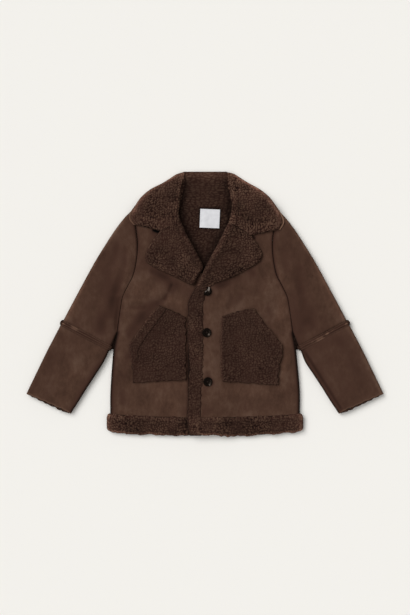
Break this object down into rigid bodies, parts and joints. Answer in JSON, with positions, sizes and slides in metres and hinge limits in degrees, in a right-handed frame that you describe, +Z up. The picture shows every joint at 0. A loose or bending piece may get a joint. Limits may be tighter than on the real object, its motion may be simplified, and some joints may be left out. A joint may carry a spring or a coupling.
{
  "type": "shearling jacket",
  "caption": "Child's button-front jacket in bonded suede cloth with curly pile collar, lapels, patch pockets, front band and hem band, laid flat with the front up.",
  "frame": {"origin": "centre of the bounding box in plan, on the surface that the jacket lies on", "axes": "+X across the jacket towards the wearer's left sleeve, +Y from the hem towards the collar, +Z up from the surface"},
  "size_m": [0.654, 0.487, 0.0301],
  "materials": {
    "suede": "napped suede face, matt",
    "curly_pile": "short curly pile, matt",
    "button_horn": "polished imitation horn",
    "label_satin": "woven satin, blank"
  },
  "bodies": {
    "root": {"back": "suede", "front_right": "suede", "front_left": "suede", "sleeve_upper_right": "suede", "sleeve_upper_left": "suede", "elbow_trim_right": "suede", "elbow_trim_left": "suede", "sleeve_lower_right": "suede", "sleeve_lower_left": "suede", "collar": "curly_pile", "lapel_right": "curly_pile", "lapel_left": "curly_pile", "front_band": "curly_pile", "pocket_right": "curly_pile", "pocket_left": "curly_pile", "pocket_rim_right": "curly_pile", "pocket_rim_left": "curly_pile", "hem_band_back": "curly_pile", "hem_band_right": "curly_pile", "hem_band_left": "curly_pile", "button_1": "button_horn", "button_2": "button_horn", "button_3": "button_horn", "neck_label": "label_satin"}
  },
  "joints": []
}
